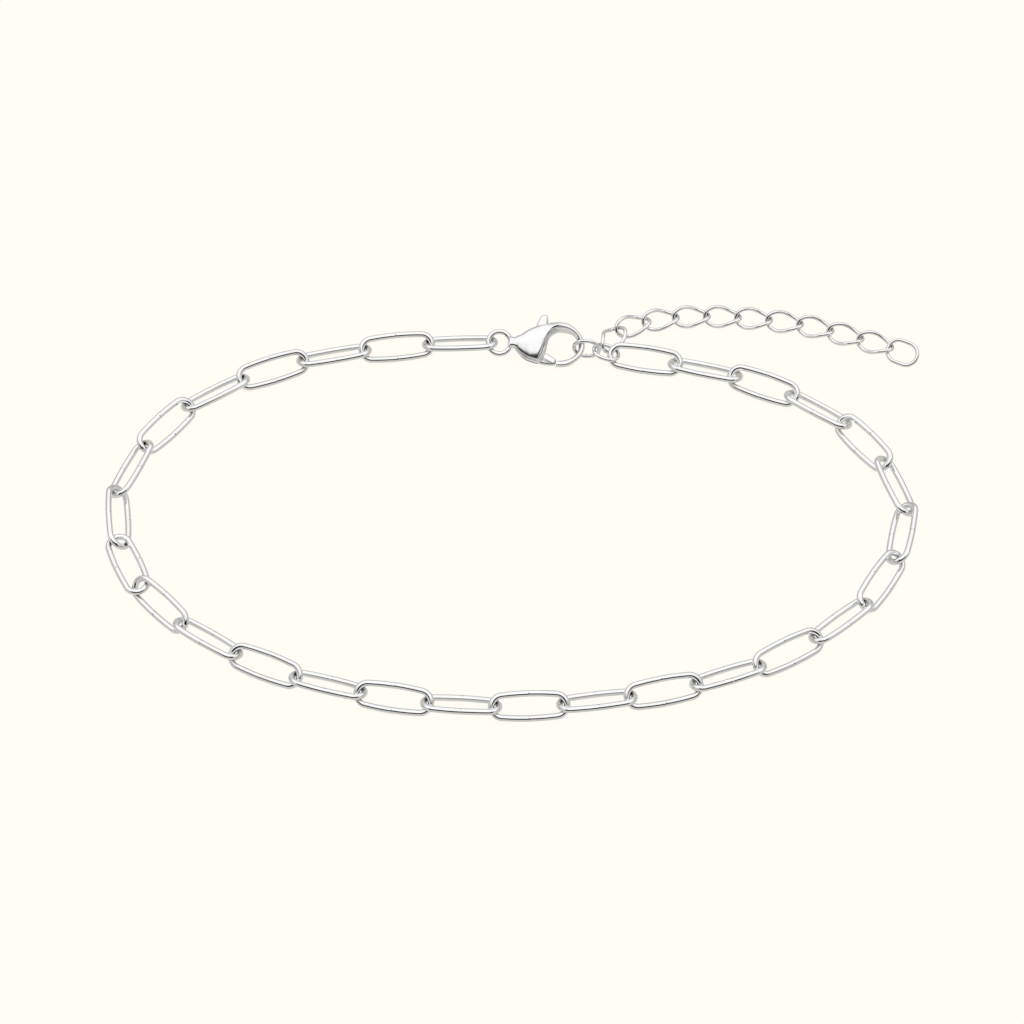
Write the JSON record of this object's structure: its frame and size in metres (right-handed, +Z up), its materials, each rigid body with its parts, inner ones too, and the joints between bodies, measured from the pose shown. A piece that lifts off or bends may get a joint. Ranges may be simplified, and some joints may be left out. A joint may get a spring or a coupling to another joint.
{
  "type": "chain anklet",
  "caption": "Polished silver chain anklet of long paperclip links with a lobster clasp and a short twisted-link extender chain.",
  "frame": {"origin": "middle of the anklet's footprint, on the surface it lies on", "axes": "+X along the loop's longer way towards the extender's end, +Y towards the clasp, +Z up off the surface"},
  "size_m": [0.0926, 0.0584, 0.0038],
  "materials": {
    "chain_silver": "polished silver",
    "clasp_silver": "polished silver"
  },
  "bodies": {
    "anklet": {"clasp_body": "clasp_silver", "main_link_01": "chain_silver", "main_link_02": "chain_silver", "main_link_03": "chain_silver", "main_link_04": "chain_silver", "main_link_05": "chain_silver", "main_link_06": "chain_silver", "main_link_07": "chain_silver", "main_link_08": "chain_silver", "main_link_09": "chain_silver", "main_link_10": "chain_silver", "main_link_11": "chain_silver", "main_link_12": "chain_silver", "main_link_13": "chain_silver", "main_link_14": "chain_silver", "main_link_15": "chain_silver", "main_link_16": "chain_silver", "main_link_17": "chain_silver", "main_link_18": "chain_silver", "main_link_19": "chain_silver", "main_link_20": "chain_silver", "main_link_21": "chain_silver", "main_link_22": "chain_silver", "main_link_23": "chain_silver", "main_link_24": "chain_silver", "main_link_25": "chain_silver", "main_link_26": "chain_silver", "main_link_27": "chain_silver", "main_link_28": "chain_silver", "main_link_29": "chain_silver", "end_ring": "chain_silver", "clasp_ring": "chain_silver", "extender_link_01": "chain_silver", "extender_link_02": "chain_silver", "extender_link_03": "chain_silver", "extender_link_04": "chain_silver", "extender_link_05": "chain_silver", "extender_link_06": "chain_silver", "extender_link_07": "chain_silver", "extender_link_08": "chain_silver", "extender_link_09": "chain_silver", "extender_link_10": "chain_silver", "extender_link_11": "chain_silver"},
    "lever": {"clasp_lever": "clasp_silver"}
  },
  "joints": [
    {"name": "lever_hinge", "type": "hinge", "parent": "anklet", "child": "lever", "pos_m": [0.00134, 0.02244, 0.00127], "axis": [0, -0.5592, 0.829], "range_deg": [0, 25], "stiffness_Nm_per_rad": 0.003, "springref_deg": -20.05}
  ]
}
